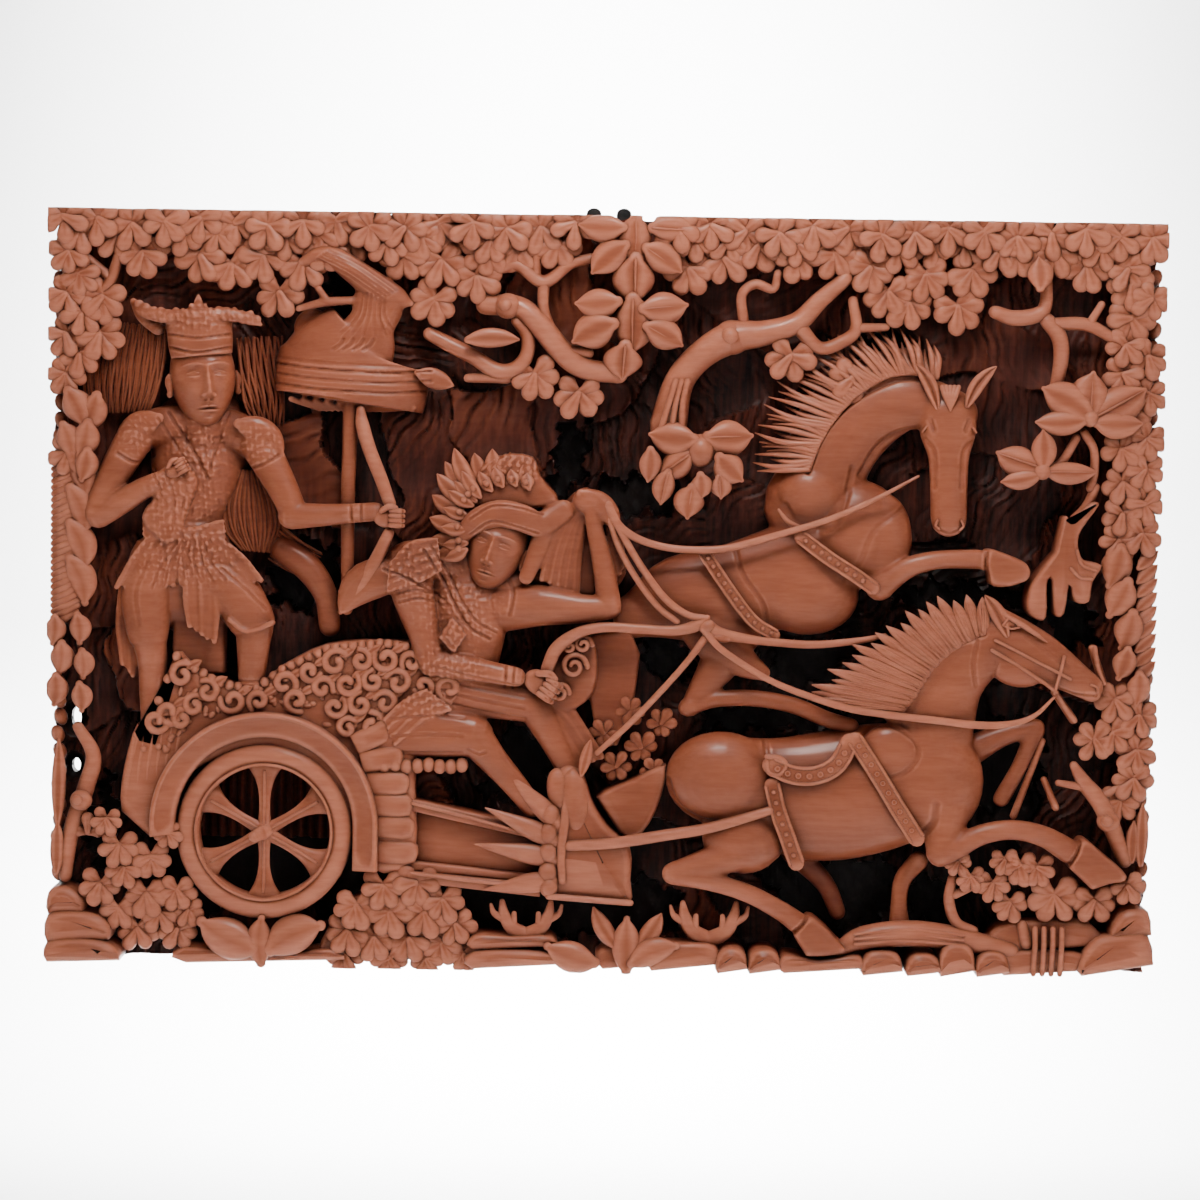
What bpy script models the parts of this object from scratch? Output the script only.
# Carved wall panel: one block of wood with a chariot scene in deep relief, and a steel hanging plate let into its back.
# Metres, +Z up. The carving faces -Y and the back lies on the wall at y = 0. The origin is on the hanging plate.
import bpy
import bmesh
import math
import numpy as np

# Driving sizes
panel_width = 1.000
panel_height = 0.684
panel_depth = 0.080
pocket_floor = 0.012
ground_level = 0.030
grid_step = 0.0026
face_budget = 9300
hanger_width = 0.046
hanger_height = 0.046
hanger_thickness = 0.0025
lug_width = 0.0135
lug_spacing = 0.0275
lug_rise = 0.009
fit_gap = 0.0003
wood_color = (0.36, 0.13, 0.075, 1.0)
steel_color = (0.02, 0.02, 0.022, 1.0)

# The carving is laid out in hundredths of the panel's width, from its lower left corner,
# and in eighths of its depth, counted out from the wall.
cols = 100.0
rows = 68.4
layers = 8.0
floor_layer = layers * pocket_floor / panel_depth
ground_layer = layers * ground_level / panel_depth
nx = int(round(panel_width / grid_step))
nz = int(round(panel_height / grid_step))

for old in list(bpy.data.objects):
    bpy.data.objects.remove(old, do_unlink=True)


def wave(t, parts):
    return sum(a * np.sin(t * f + p) for a, f, p in parts)


def edge_left(z):
    return 0.25 + wave(z, [(0.22, 1.9, 0.4), (0.16, 0.73, 1.1)])


def edge_right(z):
    return 99.75 + wave(z, [(0.22, 1.7, 2.0), (0.15, 0.81, 0.2)])


def edge_bottom(x):
    dip = 0.35 * np.clip(np.sin((x - 5.0) * 0.16), 0, 1) * (x < 30)
    return 0.15 + dip + wave(x, [(0.1, 1.05, 0.0)])


def edge_top(x):
    return 68.25 + wave(x, [(0.14, 1.35, 0.3), (0.08, 2.9, 1.0)])


us, vs = np.meshgrid(np.linspace(0, 1, nx + 1), np.linspace(0, 1, nz + 1), indexing="ij")
left, right = edge_left(vs * rows), edge_right(vs * rows)
xs = left + us * (right - left)
low, high = edge_bottom(xs), edge_top(xs)
zs = low + vs * (high - low)
depth = np.full_like(xs, ground_layer)


def window(x0, x1, z0, z1, margin=0.8):
    i0 = max(0, int((x0 - margin) / cols * nx))
    i1 = min(nx + 1, int((x1 + margin) / cols * nx) + 2)
    k0 = max(0, int((z0 - margin) / rows * nz))
    k1 = min(nz + 1, int((z1 + margin) / rows * nz) + 2)
    return (slice(i0, max(i0, i1)), slice(k0, max(k0, k1)))


def smooth_line(points, count=4):
    pts = np.array(points, float)
    if len(pts) < 3:
        return pts
    ends = np.vstack([2 * pts[0] - pts[1], pts, 2 * pts[-1] - pts[-2]])
    out = []
    for a, b, c, d in zip(ends, ends[1:], ends[2:], ends[3:]):
        for s in range(count):
            t = s / count
            out.append(0.5 * (2 * b + (c - a) * t + (2 * a - 5 * b + 4 * c - d) * t * t
                              + (3 * b - a - 3 * c + d) * t ** 3))
    out.append(pts[-1])
    return np.array(out)


def along(points):
    """Runs of a smooth line: the window, each point's distance from the run, and the share along it."""
    line = smooth_line(points)
    line[:, 3] = np.maximum(line[:, 3], 0.05)
    for a, b in zip(line, line[1:]):
        r = max(a[3], b[3])
        w = window(min(a[0], b[0]) - r, max(a[0], b[0]) + r, min(a[1], b[1]) - r, max(a[1], b[1]) + r)
        x, z = xs[w], zs[w]
        if x.size == 0:
            continue
        dx, dz = b[0] - a[0], b[1] - a[1]
        t = np.clip(((x - a[0]) * dx + (z - a[1]) * dz) / max(dx * dx + dz * dz, 1e-9), 0, 1)
        dist = np.hypot(x - a[0] - t * dx, z - a[1] - t * dz)
        yield w, dist, a[2] + t * (b[2] - a[2]), a[3] + t * (b[3] - a[3])


def tube(points, flat=1.0):
    """A rounded limb or branch through (x, z, front, half width)."""
    for w, dist, top, r in along(points):
        inside = dist < r
        new = top - flat * r * (1 - np.sqrt(np.clip(1 - (dist / r) ** 2, 0, 1)))
        depth[w] = np.where(inside, np.maximum(depth[w], new), depth[w])


def line(points, top, r, flat=1.0):
    tube([(x, z, top, r) for x, z in points], flat)


def groove(points, r, cut):
    """A tool cut along (x, z) points."""
    best = {}
    for w, dist, top, rad in along([(x, z, 0, r) for x, z in points]):
        key = (w[0].start, w[0].stop, w[1].start, w[1].stop)
        low_cut = cut * np.clip(1 - (dist / rad) ** 2, 0, 1)
        best[key] = (w, low_cut)
    taken = np.zeros_like(depth)
    for w, low_cut in best.values():
        taken[w] = np.maximum(taken[w], low_cut)
    np.subtract(depth, taken, out=depth)


def blob(x, z, top, rx, rz, turn=0.0, flat=1.0):
    """A rounded mass, half width rx and half height rz, turned by degrees."""
    r = max(rx, rz)
    w = window(x - r, x + r, z - r, z + r)
    c, s = math.cos(math.radians(turn)), math.sin(math.radians(turn))
    px, pz = xs[w] - x, zs[w] - z
    q = ((px * c + pz * s) / rx) ** 2 + ((pz * c - px * s) / rz) ** 2
    new = top - flat * min(rx, rz) * (1 - np.sqrt(np.clip(1 - q, 0, 1)))
    depth[w] = np.where(q < 1, np.maximum(depth[w], new), depth[w])


def inside_of(outline, w):
    x, z = xs[w], zs[w]
    hit = np.zeros(x.shape, bool)
    dist = np.full(x.shape, 99.0)
    for (ax, az), (bx, bz) in zip(outline, outline[1:] + outline[:1]):
        if az != bz:
            cross = (az > z) != (bz > z)
            hit ^= cross & (x < (bx - ax) * (z - az) / (bz - az) + ax)
        t = np.clip(((x - ax) * (bx - ax) + (z - az) * (bz - az))
                    / max((bx - ax) ** 2 + (bz - az) ** 2, 1e-9), 0, 1)
        dist = np.minimum(dist, np.hypot(x - ax - t * (bx - ax), z - az - t * (bz - az)))
    return hit, dist


def rounded(outline):
    loop = list(outline)
    line_pts = smooth_line([(x, z, 0, 0) for x, z in loop[-2:] + loop + loop[:2]], 3)
    return [(p[0], p[1]) for p in line_pts[6:-6]]


def plate(outline, top, soft=0.6, edge=0.5, curved=True):
    """A raised form inside an outline, its border rounded over by soft and dropped by edge."""
    loop = rounded(outline) if curved else list(outline)
    px, pz = [p[0] for p in loop], [p[1] for p in loop]
    w = window(min(px), max(px), min(pz), max(pz))
    hit, dist = inside_of(loop, w)
    share = np.clip(1 - dist / soft, 0, 1)
    new = top - edge * share ** 2
    depth[w] = np.where(hit, np.maximum(depth[w], new), depth[w])


def pocket(outline, level=None):
    """Cuts the ground back inside an outline."""
    loop = rounded(outline)
    px, pz = [p[0] for p in loop], [p[1] for p in loop]
    w = window(min(px), max(px), min(pz), max(pz))
    hit = inside_of(loop, w)[0]
    depth[w] = np.where(hit, np.minimum(depth[w], floor_layer if level is None else level), depth[w])


def petal(x0, z0, x1, z1, half, top, tip=0.25):
    """A leaf from its root to its tip, widest near the middle."""
    shape = [(0.0, 0.45), (0.25, 0.85), (0.5, 1.0), (0.75, 0.78), (1.0, tip)]
    tube([(x0 + (x1 - x0) * t, z0 + (z1 - z0) * t, top, half * k) for t, k in shape], 0.8)


def sprig(x, z, r, top, lobes=5, turn=90.0, spread=300.0):
    """A small leaf of rounded lobes about its stalk."""
    for i in range(lobes):
        a = math.radians(turn + spread * (i / max(lobes - 1, 1) - 0.5))
        blob(x + math.cos(a) * r * 0.58, z + math.sin(a) * r * 0.58, top, r * 0.5, r * 0.34, math.degrees(a), 1.2)
    blob(x, z, top - 0.25, r * 0.42, r * 0.42)


def box_at(x0, x1, z0, z1, top, soft=0.5, edge=0.5):
    plate([(x0, z0), (x1, z0), (x1, z1), (x0, z1)], top, soft, edge, False)


# Ground: rock ledges, hanging folds and pockets cut almost to the back
for i in range(7):
    line([(4 + i * 0.7, 50 + i * 1.3), (3.6 + i * 0.5, 43 - i), (5 + i * 0.4, 36)], 3.6, 0.5)
for i in range(9):
    line([(36 + i * 4.6, 48 + (i % 3)), (37.5 + i * 4.4, 38 - (i % 2) * 2)], 3.8, 0.7)
for i in range(4):
    line([(20, 44.2 + 1.8 * i), (23, 44.6 + 1.7 * i), (26, 44 + 1.8 * i)], 3.9, 0.75)
plate([(43.8, 56), (49.2, 55.6), (49.6, 64), (44.4, 64.6)], 4.4, 2.0, 0.8)
plate([(84, 60), (88.6, 60.2), (88.9, 64.2), (84, 64.4)], 5.0, 1.5, 1.0)
pockets = [
    [(9, 3.6), (13.2, 2.2), (15.5, 5.6), (12, 10), (12.4, 13.4), (9, 12.5)],
    [(22.8, 5.2), (30, 4.2), (31.6, 9.8), (27.2, 10.2)],
    [(36.5, 3.3), (55.5, 3), (56.5, 7.4), (50, 8), (37, 8)],
    [(67.2, 4.4), (76, 4.4), (77, 9.5), (70, 10.2), (64.5, 9.4)],
    [(78.4, 4.5), (82, 4.5), (81.5, 8.4), (78.4, 8.4)],
    [(84, 15.5), (89.5, 15.8), (90, 22.6), (85, 22.5)],
    [(58.5, 21.8), (71.5, 22.2), (71, 24.2), (60, 24)],
    [(65, 26.2), (70.5, 26.2), (73, 30), (66, 30)],
    [(44.5, 42), (55.5, 43), (56, 49), (49, 49.6), (44, 46)],
    [(19.6, 33), (25, 33), (25.6, 38), (20, 38)],
    [(27, 44), (30, 43.4), (30.6, 50), (27.8, 50.4)],
    [(39, 15.4), (45, 16), (45, 21), (40, 21)],
    [(76, 33.6), (88, 33.6), (88, 35.2), (77, 35.4)],
    [(24.4, 61), (27.4, 61), (27, 63.4), (24.4, 63.4)],
]
for loop in pockets:
    pocket(loop)

# Rear horse: barrel, haunch, neck and head turned to the front
blob(58, 33.5, 5.6, 6.2, 5.4, 10, 0.6)
blob(68.5, 36, 5.8, 7.2, 5.2, 15, 0.6)
tube([(66, 38, 5.6, 5), (70, 44, 6.0, 5), (72.5, 49, 6.4, 4.2), (76, 52, 6.6, 3.6), (79, 53, 6.6, 2.6)], 0.45)
blob(75.5, 40.5, 6.1, 3.2, 5.5, 0, 0.7)
blob(68.7, 43.8, 6.6, 2.6, 2.6, 0, 0.8)
tube([(80.7, 53.5, 7.4, 2.3), (80.7, 50.5, 7.5, 2.6), (80.8, 46.8, 7.7, 1.9), (80.8, 43.6, 7.8, 1.5)], 0.8)
petal(79.2, 53, 77.4, 56.3, 0.8, 7.3)
petal(82.3, 53, 84.4, 56.3, 0.8, 7.3)
for i in range(5):
    line([(66.5 + 1.9 * i, 56.6), (69.5 + 1.7 * i, 53.5 - 0.3 * i), (70 + 1.5 * i, 50 - i)], 6.6, 0.55)
tube([(61, 28.5, 5.6, 3.2), (58.5, 25.4, 5.4, 1.8), (57.5, 23.8, 5.2, 1.2)], 0.7)
line([(57.5, 23.6), (62, 24.6), (66, 24.5), (70, 23), (72.3, 22.8)], 5.2, 0.8)
tube([(75.2, 35.6, 6.9, 1.7), (78.4, 37.8, 7.0, 1.3), (83.6, 37.4, 7.0, 0.9)], 0.8)
blob(86.2, 37.1, 7.0, 2.1, 1.4, 0, 0.8)
line([(59, 37.6), (64, 32), (67.4, 31)], 6.1, 0.7)
line([(68, 39.4), (73.6, 35.4)], 6.4, 0.75)

# Charioteer
pad = [(30, 36), (32.6, 39.5), (35.6, 38.6), (35.4, 35), (32.4, 33.8)]
tube([(43, 33, 5.6, 2.1), (47, 33.8, 6.0, 1.9), (50, 33.6, 6.2, 1.6), (48.7, 38, 6.0, 1.4), (48, 42.4, 5.8, 1.3)], 0.8)
plate([(42.6, 36), (45.2, 41.4), (48.3, 44.2), (51, 42), (52, 36.2), (50, 37.8), (47.4, 36.4), (45, 37.6)], 6.2, 0.9, 0.8)
for i in range(5):
    line([(44.2 + 1.6 * i, 37.2), (46 + 0.9 * i, 41)], 6.5, 0.4)
tube([(44, 24.5, 6.2, 2.0), (34.6, 24.4, 6.2, 2.3)], 0.8)
tube([(44, 24.3, 6.2, 1.9), (45.4, 21, 6.2, 1.5), (47.2, 17.6, 6.0, 1.1)], 0.8)
tube([(31, 21.2, 7.0, 2.4), (35, 21.2, 7.2, 2.3), (38.6, 21, 7.2, 2.1)], 0.8)
tube([(38.4, 20.8, 7.2, 1.9), (40.8, 18, 7.0, 1.4), (43.4, 15.6, 6.8, 1.1)], 0.8)
for i in range(4):
    line([(45.5 + 1.2 * i, 26), (45.2 + 1.1 * i, 22.6), (45.6 + 1.2 * i, 19.6)], 5.6, 0.55)
plate([(33.8, 30), (34, 36.4), (38, 38.4), (43, 35.6), (43.4, 30.4), (40, 28.4)], 6.7, 2.0, 0.9)
plate([(34.2, 24.6), (33.8, 30.6), (42.6, 30.2), (43.6, 25.4)], 6.3, 1.4, 0.8)
plate(pad, 7.1, 1.2, 0.8)
plate([(26.4, 32.1), (29.6, 35), (32.4, 37), (33.4, 34), (31.5, 32.4), (28.4, 30.8)], 6.9, 0.8, 0.6)
line([(32, 36), (36.6, 33), (40, 31)], 7.1, 0.6)
line([(34.5, 38), (37, 33), (39, 30.6)], 7.1, 0.5)
blob(36.2, 31.2, 7.2, 1.2, 1.3)
blob(39.5, 38.9, 7.3, 3.1, 3.5, 20, 0.8)
plate([(34.5, 40), (35.4, 43.5), (36.3, 47.6), (37.5, 44.8), (38.6, 46.4), (40, 44.4), (44.4, 44.2), (43, 42), (38, 41)],
      7.0, 0.8, 0.6)
tube([(33.3, 35, 7.3, 1.5), (34.2, 31.6, 7.5, 1.5), (34.8, 28.6, 7.5, 1.2)], 0.9)
tube([(34.8, 28.3, 7.6, 1.2), (38, 27.5, 7.7, 1.1), (41.6, 27.2, 7.6, 0.9)], 0.9)
blob(44.4, 27, 7.5, 2.0, 1.9, 0, 0.8)

# Standing archer
for i in range(6):
    line([(9.4 - i * 1.1, 57), (7.6 - i * 0.9, 53.6), (7.2 - i * 0.7, 50.2)], 5.6, 0.6)
for i in range(4):
    line([(16.6 + i, 56.4), (17.4 + i * 0.8, 52.6), (18 + i * 0.6, 49)], 5.6, 0.5)
line([(8.8, 48.8), (5.8, 45.4), (4.2, 42)], 6.0, 1.5, 0.8)
line([(4.2, 41.6), (7.4, 42.6), (10.4, 44.4)], 6.4, 1.2, 0.8)
blob(11.8, 44.8, 6.6, 1.5, 1.2)
plate([(15.8, 39), (16, 45.4), (18, 46.4), (20, 44.6), (19.8, 38.4), (17.6, 37.8)], 5.8, 1.6, 1.0)
line([(18.6, 47), (20.4, 44), (22, 41.6)], 6.4, 1.4, 0.8)
line([(22, 41.2), (26, 41), (29.2, 41.2)], 6.5, 0.95)
blob(30.5, 41.3, 6.7, 1.3, 1.6)
line([(28, 50.2), (28.1, 48), (29.4, 45), (31, 42.5)], 6.4, 0.62)
line([(30.3, 39.7), (28.6, 36.5), (26.7, 33.4)], 6.4, 0.75)
plate([(8.4, 49.4), (8.8, 44), (9.2, 39.4), (15, 39.4), (16.2, 44), (18.2, 48.4), (15.6, 50), (11, 50.4)], 6.3, 2.4, 1.2)
plate([(7.2, 50.2), (10, 48.4), (13.4, 47.2), (17.4, 48), (20, 47.4), (18.4, 50), (15.6, 50.8), (10.6, 50.8)], 6.8, 0.9, 0.5)
plate([(8.3, 38.8), (8.5, 44.6), (11, 45), (11.7, 39.4)], 6.7, 0.9, 0.5)
blob(13.1, 53.2, 7.3, 2.7, 3.6, 0, 0.8)
plate([(7.5, 60), (8.8, 57.2), (10.2, 55.6), (16, 55.6), (18.5, 57), (17.6, 59.6), (15, 59.4), (13.3, 61), (11.6, 59.2), (9.6, 58.8)],
      7.2, 0.8, 0.6)
plate([(6, 33), (8.4, 39.4), (15.6, 39.4), (18.2, 36), (17.6, 32.4), (12, 31.6)], 6.4, 1.4, 0.9)
line([(9.9, 33), (9.7, 27), (9.6, 20.5)], 6.0, 1.2, 0.8)
tube([(13, 35, 6.6, 2.4), (16.4, 33.4, 6.8, 2.2), (19, 32.2, 6.6, 1.6)], 0.8)
line([(18.4, 32), (18.4, 29.4), (18.2, 27.2)], 6.3, 1.6, 0.8)
for i in range(3):
    line([(12.4 + 1.1 * i, 33), (12.6 + 1.1 * i, 27.2)], 6.0, 0.6)
plate([(11.2, 33), (11.6, 36.4), (17.6, 36.2), (18, 34.2), (14.4, 32.6)], 7.0, 0.7, 0.5)
line([(24.2, 37), (24.2, 32.6)], 5.0, 1.2)

# Umbrella, its pole and the branch over it
line([(26.9, 50.6), (26.9, 43), (26.8, 33.4)], 5.6, 0.6)
plate([(20.3, 52.6), (27, 52), (33.7, 51.5), (36, 53.2), (34, 55), (31, 57.4), (27, 58.4), (22.4, 57.2), (21, 54.6)], 6.6, 2.2, 1.3)
for h in (53.4, 55.0, 56.4):
    groove([(20.8 + (h - 53) * 0.4, h + 0.2), (27, h - 0.5), (34.6 - (h - 53) * 0.8, h - 0.4)], 0.35, 0.35)
blob(23.5, 58.5, 6.4, 1.6, 1.6)
plate([(27, 57), (30.4, 57), (30.2, 60.2), (27.3, 60.2)], 6.0, 1.0, 0.7)
tube([(22, 64.3, 6.6, 1.0), (25, 64.2, 6.8, 1.0), (27.2, 63, 6.8, 1.0), (29.4, 61.6, 6.8, 0.95), (31, 60.4, 6.5, 0.8)])
line([(28, 62), (27.6, 57.4)], 6.0, 0.8)

# Branches between the figures
line([(39, 60.2), (42, 60), (44, 58.3), (46, 56), (48, 54.6), (51, 54.2)], 6.6, 1.0)
line([(34, 57.5), (36, 56.5), (38, 55.5), (40, 54.3), (41.6, 54.4), (42.7, 55.6), (42.8, 57.4), (41.8, 58.8)], 6.2, 0.65)
line([(40.5, 63.5), (42, 63.7), (44.2, 62.3), (46.5, 63.9), (48.5, 64.5)], 6.3, 0.55)
line([(44.2, 62.2), (44.2, 60), (44.8, 58.3), (46, 56.5), (48.3, 56)], 6.2, 0.5)
tube([(55.6, 49.6, 6.6, 1.7), (56.5, 53.5, 6.7, 1.4), (58.5, 56, 6.8, 1.4), (61.2, 57.6, 6.9, 1.5), (64, 58, 6.7, 1.2),
      (67, 59, 6.5, 1.0), (69, 61, 6.4, 0.8), (71.3, 63, 6.4, 0.7)])
line([(67, 58.8), (69, 56.8), (71, 57.3), (72.3, 58.5), (72, 61)], 6.3, 0.6)
line([(62.2, 59), (62, 61.4), (63.2, 62.4), (64.8, 62)], 6.1, 0.5)
line([(84.8, 60.2), (86.5, 59.7), (88.5, 60), (89.3, 61), (89.3, 64)], 6.3, 0.6)
line([(89.5, 59.5), (90.6, 58), (90.8, 56), (90.3, 53)], 6.3, 0.7)
line([(90, 59.2), (93, 59.2), (95.5, 58)], 6.3, 0.6)
line([(91, 34.4), (91.5, 38), (91.9, 41), (92.4, 43), (94.3, 44.8)], 6.0, 0.85)
plate([(50.5, 49.4), (50.6, 52.6), (52.8, 53), (53.4, 50)], 5.8, 0.8, 0.6)

# Chariot: carved side, deck, wheel, fender and finial
plate([(6.6, 14), (7, 22), (9, 20.4), (10.2, 25), (11.8, 28.4), (14.4, 26.2), (18.5, 25.6), (21, 27.4), (25, 29.4), (30, 30),
       (35, 30), (35, 22), (33.6, 12), (31, 9.4), (20, 12), (9, 11)], 6.0, 0.9, 0.6)
for cx, cz, r in [(13.7, 25.8, 1.2), (11.5, 24.6, 1.1), (16.6, 24.4, 1.3), (19.8, 24.6, 1.3), (23, 25.4, 1.4), (26.4, 26, 1.5), (30, 26.4, 1.5)]:
    blob(cx, cz, 6.7, r, r, 0, 0.8)
for i in range(4):
    line([(7.8 + i * 1.2, 15.4), (8.6 + i * 1.2, 21.6 + 0.6 * i)], 6.4, 0.45)
for x, z in [(28, 22.2), (30, 19.8), (31, 17.4), (31.3, 15.2), (31.5, 13.2), (31.5, 11.2)]:
    blob(x, z, 6.9, 2.0, 1.35, -25, 0.7)
plate([(33, 15.9), (44.5, 13.2), (53, 11), (53, 6.3), (44, 7.2), (33, 8.5)], 6.8, 0.7, 0.5, False)
groove([(33, 10.4), (44, 9), (53, 7.8)], 0.35, 0.4)
groove([(33, 13.4), (44, 11.2), (50, 10)], 0.35, 0.4)
wheel = (19.6, 12.4)


def ring(cx, cz, r, half, top, a0=0.0, a1=360.0, flat=0.7):
    n = max(8, int(abs(a1 - a0) / 12))
    line([(cx + r * math.cos(math.radians(a0 + (a1 - a0) * i / n)),
           cz + r * math.sin(math.radians(a0 + (a1 - a0) * i / n))) for i in range(n + 1)], top, half, flat)


pocket([(wheel[0] + 7.6 * math.cos(math.radians(a)), wheel[1] + 7.6 * math.sin(math.radians(a))) for a in range(0, 360, 20)], 3.0)
pocket([(wheel[0] + 7.2 * math.cos(math.radians(a)), wheel[1] + 7.2 * math.sin(math.radians(a))) for a in range(180, 361, 20)])
ring(wheel[0], wheel[1], 6.9, 1.0, 6.9)
for a in range(30, 390, 60):
    c, s = math.cos(math.radians(a)), math.sin(math.radians(a))
    tube([(wheel[0] + c, wheel[1] + s, 6.5, 0.5), (wheel[0] + 3.6 * c, wheel[1] + 3.6 * s, 6.3, 0.5),
          (wheel[0] + 6.4 * c, wheel[1] + 6.4 * s, 6.6, 0.95)])
blob(wheel[0], wheel[1], 7.3, 1.5, 1.5, 0, 0.9)
ring(19.6, 13, 9.2, 1.15, 7.3, 180, 0)
line([(28.8, 13), (28.8, 9.8)], 7.3, 1.15, 0.7)
plate([(45, 8.4), (45.2, 14.6), (45.6, 18), (47.4, 18.8), (49, 17.4), (52.6, 12.2), (52.8, 6.3), (46, 6.6)], 7.2, 1.4, 0.8)
for tip, z in [((41.8, 17.8), 12.4), ((40, 14.5), 11.4), ((39.2, 11.5), 10.2), ((40.5, 7.8), 8.6)]:
    petal(46, z, tip[0], tip[1], 1.0, 7.2)
petal(48.2, 18.2, 49, 21, 0.7, 7.0)
line([(47.5, 11.6), (55, 12.6), (60, 13.6), (65.3, 15.2)], 7.3, 0.55)

# Front horse: body, legs, neck and mane
blob(60.6, 17.4, 8.0, 5.2, 4.8, 0, 0.55)
blob(69, 16.2, 7.7, 8.4, 6.0, 0, 0.5)
blob(77.2, 18.6, 7.8, 6.0, 6.6, -25, 0.45)
blob(62.8, 12.6, 7.8, 3.9, 3.4, 0, 0.6)
tube([(63.5, 11.4, 7.6, 2.4), (59.8, 10, 7.5, 1.6), (56.8, 9.1, 7.4, 1.2)], 0.7)
tube([(56.6, 8.9, 7.4, 1.2), (60, 8.6, 7.4, 0.95), (64, 7.6, 7.4, 0.9), (67.4, 5.8, 7.4, 0.85), (69, 4.6, 7.4, 0.9)], 0.9)
plate([(67.6, 3.4), (69.4, 4.9), (71.4, 4.2), (72.3, 2.3), (69.4, 1.8)], 7.5, 0.7, 0.4)
tube([(80.4, 11.8, 7.6, 1.5), (82.6, 12.8, 7.7, 1.1), (86, 13.8, 7.7, 1.0), (89, 13.4, 7.7, 0.95), (92.4, 11.4, 7.6, 1.1)], 0.9)
plate([(92.4, 10.5), (95, 12.2), (97.3, 9.4), (94, 8.3)], 7.7, 0.7, 0.4)
line([(84.5, 21), (87.4, 22.2), (89.6, 22.4)], 6.4, 0.9)
line([(89.6, 22.2), (88.2, 18.6), (86.4, 15.6)], 6.4, 0.8)
plate([(69, 21.4), (77.4, 27), (84.2, 29.6), (84, 27), (83.2, 25), (83.6, 22), (84.8, 18.6), (83, 15), (78, 18), (73, 20)],
      7.6, 2.2, 1.0)
for x, z in [(84.4, 34.6), (81.3, 34.6), (78.8, 34.3), (77.3, 33.1), (75.4, 32), (73.5, 30.8), (71.8, 29.4), (70.4, 27.8), (68.9, 26.4)]:
    petal(x * 0.55 + 36.6, z * 0.62 + 10.2, x, z, 0.95, 7.4, 0.15)
tube([(84.6, 30.6, 7.7, 3.0), (87.6, 29.4, 7.8, 2.7), (91, 28, 7.8, 2.0), (93.6, 26.8, 7.7, 1.5)], 0.55)
petal(84.6, 33, 84.4, 35.2, 0.6, 7.8)
line([(85.2, 30.6), (88, 28.4), (90.5, 26.6)], 8.0, 0.4)
line([(65, 19.9), (68, 18.8), (71, 19.8), (72.4, 22)], 8.0, 0.85, 0.6)
line([(65.2, 17.8), (66.4, 14), (67.6, 10.8)], 7.95, 0.75, 0.6)
line([(72.6, 21.8), (75.6, 17.4), (78.6, 13.2)], 7.95, 0.8, 0.6)

# Reins
rein_runs = [
    ([(50.5, 41.5), (52, 40), (55, 38.8), (58, 38.5), (61, 38.8), (65, 39.9), (70, 41.5), (75, 43.7), (78, 45.3)], 6.9),
    ([(50.5, 41.5), (52, 39), (54, 36), (56, 34), (58, 32.7), (59.2, 32.2)], 6.6),
    ([(45.4, 28), (46, 29.5), (48, 31), (50, 31.6), (56, 31.5), (59.2, 32)], 7.0),
    ([(59.3, 32), (62, 28.6), (65, 27), (68, 25.6), (72, 24.6), (76, 24), (80, 23.5), (85, 23), (88, 23.5), (90.5, 25.5)], 7.9),
    ([(59.3, 31.6), (62, 31), (65, 30.3), (69, 30.1), (75, 30.9)], 6.8),
    ([(59, 30.3), (55.5, 26), (52, 22.5), (49, 19.5)], 6.4),
]
for run, top in rein_runs:
    line(run, top, 0.42)

# Leaf bunches of long petals
bunch = [
    (51.2, 67.2, 47.4, 67.4, 1.0), (52.4, 68, 52.4, 64.2, 1.25), (53.9, 67.2, 57.6, 67, 1.05), (51.4, 65.6, 48.6, 63.2, 1.1),
    (53.4, 65.4, 56.4, 63.4, 1.1), (52.4, 64.4, 52.4, 60.6, 1.5), (50.8, 60.6, 47.2, 60.4, 1.1), (53.2, 60, 57, 60.4, 1.2),
    (52.2, 60.8, 52.2, 56.2, 1.5), (50.4, 58.6, 47, 57, 1.3), (53.6, 58.4, 56.6, 56.8, 1.1), (51.6, 56.6, 51.4, 53.8, 1.4),
    (57.8, 48.4, 54, 48.8, 1.2), (59.2, 48.6, 63, 48.8, 1.3), (57.4, 47, 55, 45.2, 1.0), (60.2, 46.8, 62.2, 44.8, 1.1),
    (54, 47.4, 53.8, 44.6, 0.8), (55.6, 45.4, 55, 42.6, 0.8), (58.5, 45.2, 58.6, 43.2, 0.8), (57.8, 44, 57.4, 41.4, 1.1),
    (60.2, 45, 60.4, 43.2, 0.8), (93.2, 51, 89.2, 53.4, 1.3), (93.4, 51.2, 93.6, 54.8, 1.4), (94, 51, 98.2, 53.4, 1.4),
    (92.8, 50.6, 88.6, 50.4, 0.9), (94, 50.4, 98, 50.4, 1.0), (88.8, 46.4, 85.2, 47.6, 1.1), (89.2, 46.4, 89.2, 49.6, 0.9),
    (88.8, 45.6, 85.6, 45, 0.7), (89.6, 46, 94, 46, 0.8), (49, 33, 49, 29, 0.8), (47, 29.8, 47.6, 25.6, 1.0),
    (50, 19.6, 52.6, 16.6, 1.1), (53, 23.6, 55.6, 20.6, 1.1), (37.5, 57, 42, 57.1, 0.7), (88.6, 62.4, 88.5, 65, 0.9),
]
for x0, z0, x1, z1, half in bunch:
    petal(x0, z0, x1, z1, half, 7.2, 0.3)
blob(58.5, 47.4, 7.3, 1.4, 1.5)

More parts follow.
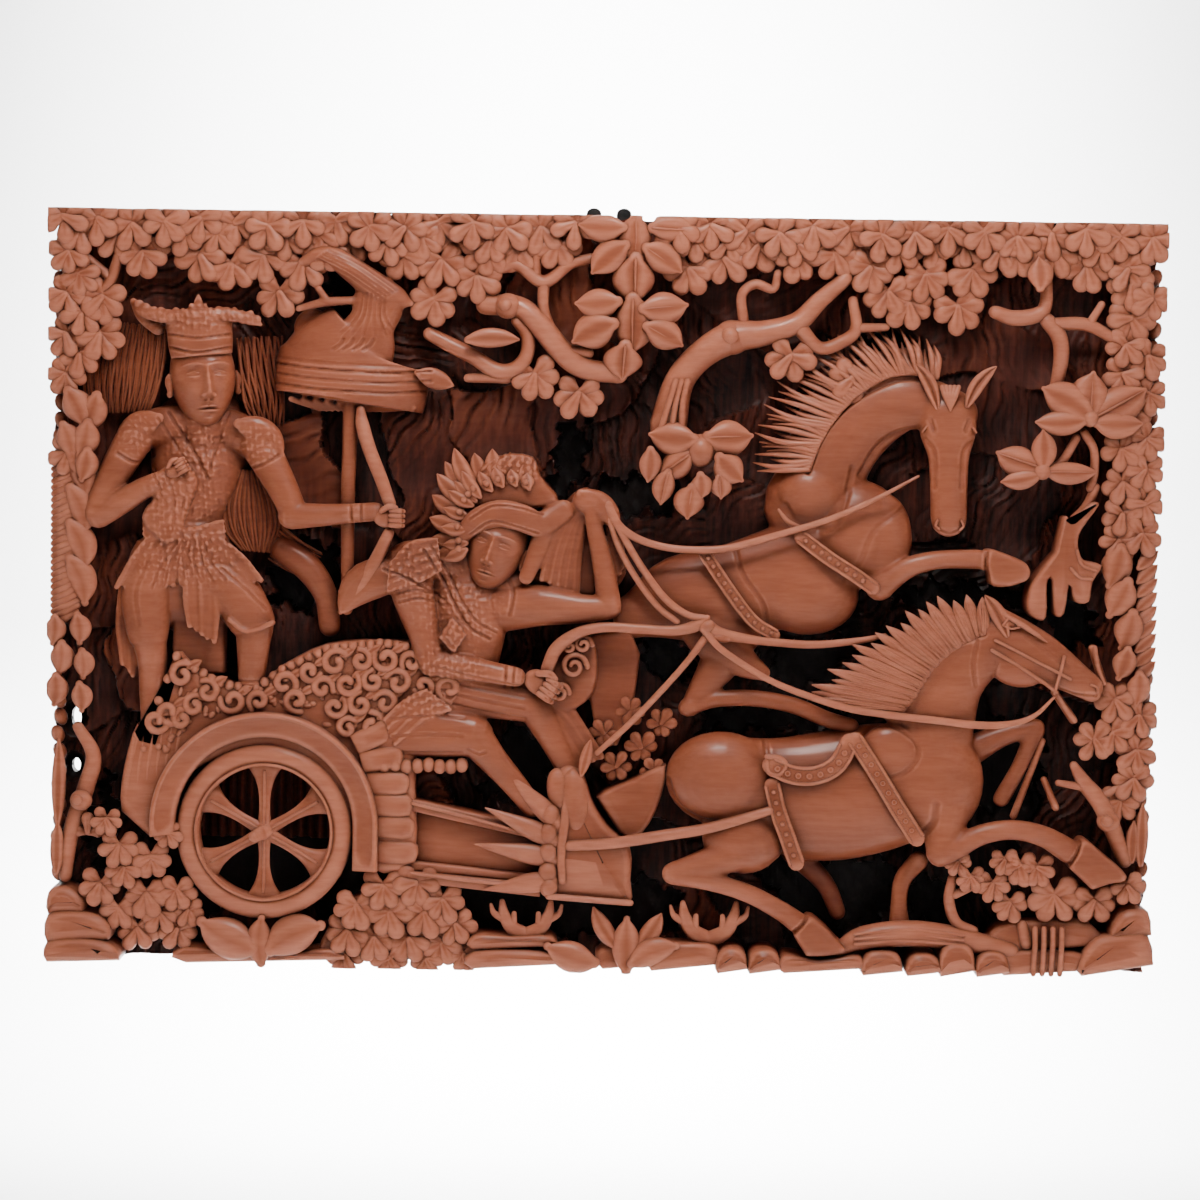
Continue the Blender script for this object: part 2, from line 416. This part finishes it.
# Leaf border round the edge
for i in range(24):
    x = 2.2 + i * 4.15
    if not 46.5 < x < 58:
        sprig(x, 66.2 + 0.3 * (i % 2), 2.25, 7.1 - 0.2 * (i % 2), 6, 270)
hanging = [(19, 63), (22.5, 63), (20.5, 59.6), (35, 62.8), (37.5, 61.4), (33.5, 59.2), (38.6, 64.2), (57.2, 62.6), (60.4, 63.8),
           (67, 64), (73.5, 62.8), (78.5, 62.4), (82.6, 62.8), (77, 59.4), (81.4, 59.3), (93, 63.4), (97, 62), (97, 58.6),
           (43.5, 52.8), (47.5, 51), (66.5, 54.5), (13.4, 63.4), (8.2, 63.6), (94.4, 66)]
for x, z in hanging:
    sprig(x, z, 2.15, 6.5, 5, 270)
for x, z in [(2.2, 63.4), (2, 60.4), (2, 57.6), (1.8, 54.8), (97.2, 55.6), (97.2, 49), (97, 46.6), (96.6, 44.2), (97, 41.6), (97, 39.2),
             (96, 24), (94.6, 20.6), (97.8, 20.2), (97.6, 17.2)]:
    sprig(x, z, 1.9, 6.8, 5, 270)
for x, z, rx, rz in [(3, 52.2, 1.1, 1.4), (2.4, 49.3, 1.2, 1.3), (2.2, 46.8, 1.2, 1.2), (1.8, 44, 1.3, 1.4), (1.8, 41, 1.2, 1.4),
                     (1.8, 37.8, 1.2, 1.6), (1.8, 34.6, 1.2, 1.5), (0.9, 31, 0.9, 1.4), (2.9, 30.2, 1.1, 1.4), (1, 27.4, 0.9, 1.5),
                     (3, 26.5, 1.1, 1.5), (1, 24.2, 0.9, 1.2), (3.2, 23.2, 1.0, 1.2), (96, 37.1, 1.7, 1.4), (96.3, 34.4, 1.6, 1.2),
                     (97, 31.4, 1.5, 1.4), (98.6, 28.6, 1.1, 1.6), (98.2, 25.4, 1.2, 1.6), (99, 13, 0.8, 2.6), (99, 34, 0.9, 4)]:
    blob(x, z, 6.7, rx, rz, 0, 1.0)
line([(1.5, 8), (2, 12), (3.3, 16), (4, 19), (2.6, 21.3)], 6.2, 0.7)
line([(3.3, 60.3), (5, 61.5), (5.6, 62.7), (6.2, 65)], 6.0, 0.5)
petal(0.9, 20, 0.8, 13, 0.6, 6.2)
sprig(3.6, 11, 1.4, 6.6, 3, 90)

# Ground row: clouds, stones, mounds and small plants
for x, z, rx, rz in [(1.6, 5.7, 1.7, 1.4), (2.6, 3.4, 2.9, 1.5), (3.2, 1.3, 3.2, 1.3), (97.2, 1.9, 3, 2), (98.4, 4.9, 1.8, 1.4),
                     (16.1, 2.9, 2, 2), (19.5, 2.6, 1.2, 2), (22.7, 2.7, 2, 1.9), (28.5, 5.6, 2.2, 2.0), (32, 6.6, 2.6, 2.1),
                     (35.6, 5.4, 2.2, 2.0), (62, 1.3, 1.4, 1.3), (65, 1.3, 1.4, 1.3), (75.6, 1.2, 1.7, 1.2), (79.4, 1.1, 1.5, 1.1),
                     (82.4, 1.6, 1.5, 1.6), (85.6, 1.3, 1.5, 1.2), (48.1, 1.8, 2.7, 1.6), (77.4, 7.4, 0.9, 2.4)]:
    blob(x, z, 7.3, rx, rz, 0, 0.9)
box_at(25.5, 38.7, 0.2, 3.6, 7.0, 0.9, 0.8)
box_at(38.7, 45.5, 0.2, 3.2, 7.0, 0.7, 0.6)
box_at(54.8, 60.7, 0.2, 2.7, 7.0, 0.7, 0.6)
box_at(67, 73.6, 0.2, 1.8, 7.2, 0.6, 0.5)
box_at(86.5, 94, 0.2, 2.2, 7.0, 0.7, 0.6)
plate([(72, 1.6), (73.6, 4), (78, 4.9), (82.4, 4.4), (87.5, 2.2)], 6.8, 1.2, 0.8)
for i in range(3):
    line([(89.4 + i * 1.1, 0.6), (89.5 + i * 1.1, 4.6)], 6.9, 0.5)
line([(52.4, 0.4), (52.5, 5)], 7.1, 1.0)
line([(97.3, 11), (95.6, 15.5), (93.8, 17.8)], 6.6, 0.75)
line([(82, 9), (81.7, 7), (82.4, 5), (84, 4.2)], 6.6, 0.5)
for x, z, r in [(6.5, 11, 1.7), (9.3, 10, 1.7), (5, 7.2, 1.7), (9, 6.4, 2), (11.6, 7, 1.6), (8.4, 3.2, 1.8), (11.6, 3, 1.7),
                (88, 10.4, 1.7), (84.4, 9, 1.5), (86.2, 7.6, 1.7), (88.2, 5.6, 1.6), (91.2, 7.4, 2.1), (95, 6.8, 2), (98, 8.8, 1.5),
                (43.4, 4.8, 1.9), (59.6, 4.8, 2), (50.2, 4.6, 1.2), (55.2, 4.4, 1.2), (27.6, 2.4, 1.9), (37, 2.4, 1.6), (32, 2, 1.9)]:
    sprig(x, z, r, 7.1, 5, 90)

depth = np.clip(depth, floor_layer, layers)

# The surface becomes a closed block: front grid, side walls and a flat back
sx, sy, sz = panel_width / cols, panel_depth / layers, panel_height / rows
origin_z = panel_height - hanger_height / 2
front = np.stack([(xs - cols / 2) * sx, -depth * sy, zs * sz - origin_z], -1).reshape(-1, 3)
index = np.arange((nx + 1) * (nz + 1)).reshape(nx + 1, nz + 1)
quads = np.stack([index[:-1, :-1], index[1:, :-1], index[1:, 1:], index[:-1, 1:]], -1).reshape(-1, 4)
rim = list(index[:, 0]) + list(index[-1, 1:]) + list(index[-2::-1, -1]) + list(index[0, -2:0:-1])
back = front[rim].copy()
back[:, 1] = 0.0
base = len(front)
faces = quads.tolist()
for i in range(len(rim)):
    j = (i + 1) % len(rim)
    faces.append([rim[i], base + i, base + j, rim[j]])
faces.append([base + i for i in range(len(rim) - 1, -1, -1)])
mesh = bpy.data.meshes.new("carved_panel")
mesh.from_pydata(np.vstack([front, back]).tolist(), [], faces)
panel = bpy.data.objects.new("carved_panel", mesh)
bpy.context.collection.objects.link(panel)


def apply_all(obj):
    graph = bpy.context.evaluated_depsgraph_get()
    done = bpy.data.meshes.new_from_object(obj.evaluated_get(graph))
    obj.modifiers.clear()
    obj.data = done


def tidy(obj):
    bm = bmesh.new()
    bm.from_mesh(obj.data)
    for v in bm.verts:
        if v.co.y > -0.003:
            v.co.y = 0.0
    bmesh.ops.dissolve_degenerate(bm, dist=1e-5, edges=bm.edges)
    flat_back = [f for f in bm.faces if f.normal.y > 0.999 and f.calc_center_median().y > -1e-5]
    bmesh.ops.dissolve_faces(bm, faces=flat_back, use_verts=False)
    bmesh.ops.triangulate(bm, faces=bm.faces)
    bmesh.ops.recalc_face_normals(bm, faces=bm.faces)
    bm.to_mesh(obj.data)
    bm.free()


tidy(panel)
fewer = panel.modifiers.new("fewer", "DECIMATE")
fewer.ratio = face_budget / len(panel.data.polygons)
apply_all(panel)
tidy(panel)


def solid(name, verts, faces_in):
    data = bpy.data.meshes.new(name)
    data.from_pydata(verts, [], faces_in)
    obj = bpy.data.objects.new(name, data)
    bpy.context.collection.objects.link(obj)
    bm = bmesh.new()
    bm.from_mesh(data)
    bmesh.ops.recalc_face_normals(bm, faces=bm.faces)
    bm.to_mesh(data)
    bm.free()
    return obj


def prism(name, outline, y0, y1):
    """A straight block through (x, z) points, in metres, from y0 to y1."""
    n = len(outline)
    verts = [(x, y0, z) for x, z in outline] + [(x, y1, z) for x, z in outline]
    sides = [[i, (i + 1) % n, n + (i + 1) % n, n + i] for i in range(n)]
    return solid(name, verts, [list(range(n))] + [list(range(2 * n - 1, n - 1, -1))] + sides)


def cut(obj, cutter):
    cutter.hide_render = True
    cutter.display_type = "WIRE"
    mod = obj.modifiers.new("cut", "BOOLEAN")
    mod.operation = "DIFFERENCE"
    mod.solver = "EXACT"
    mod.object = cutter
    apply_all(obj)
    bpy.data.objects.remove(cutter, do_unlink=True)


# The recess for the hanging plate, open at the top edge
half = hanger_width / 2 + fit_gap
deep = hanger_thickness + fit_gap
bottom = -hanger_height / 2 - fit_gap
cut(panel, prism("recess", [(-half, bottom), (half, bottom), (half, 0.2), (-half, 0.2)], -deep, 0.01))

# Two pierced holes beside the left edge
for x, z, rx, rz in [(1.85, 22.1, 0.45, 0.95), (1.85, 17.7, 0.4, 0.65)]:
    ring_pts = [((x + rx * math.cos(a) - cols / 2) * sx, (z + rz * math.sin(a)) * sz - origin_z)
                for a in [i * math.tau / 10 for i in range(10)]]
    cut(panel, prism("pierce", ring_pts, -panel_depth * 1.2, 0.01))


def keep_largest(obj):
    bm = bmesh.new()
    bm.from_mesh(obj.data)
    bmesh.ops.remove_doubles(bm, verts=bm.verts, dist=1e-6)
    left_over = set(bm.faces)
    shells = []
    while left_over:
        seed = left_over.pop()
        shell, stack = [seed], [seed]
        while stack:
            for e in stack.pop().edges:
                for f in e.link_faces:
                    if f in left_over:
                        left_over.discard(f)
                        shell.append(f)
                        stack.append(f)
        shells.append(shell)
    shells.sort(key=len)
    for shell in shells[:-1]:
        bmesh.ops.delete(bm, geom=shell, context="FACES")
    bmesh.ops.triangulate(bm, faces=bm.faces)
    bm.to_mesh(obj.data)
    bm.free()


keep_largest(panel)

# Hanging plate with two rounded lugs that rise over the top edge
top_z = hanger_height / 2
half = hanger_width / 2
outline = [(-half, -top_z), (half, -top_z), (half, top_z)]
for centre in (lug_spacing / 2, -lug_spacing / 2):
    r = lug_width / 2
    outline.append((centre + r, top_z))
    for i in range(9):
        a = math.pi * i / 8
        outline.append((centre + r * math.cos(a), top_z + lug_rise - r * 0.8 + r * 0.8 * math.sin(a)))
    outline.append((centre - r, top_z))
outline.append((-half, top_z))
hanger = prism("hanger", outline, -hanger_thickness, 0.0)


def finish(obj, name, color, rough, metal):
    mat = bpy.data.materials.new(name)
    mat.use_nodes = True
    shader = mat.node_tree.nodes["Principled BSDF"]
    shader.inputs["Base Color"].default_value = color
    shader.inputs["Roughness"].default_value = rough
    shader.inputs["Metallic"].default_value = metal
    obj.data.materials.clear()
    obj.data.materials.append(mat)


finish(panel, "carved_wood", wood_color, 0.42, 0.0)
finish(hanger, "black_steel", steel_color, 0.45, 0.6)
print("carved_panel", len(panel.data.polygons), "hanger", len(hanger.data.polygons))
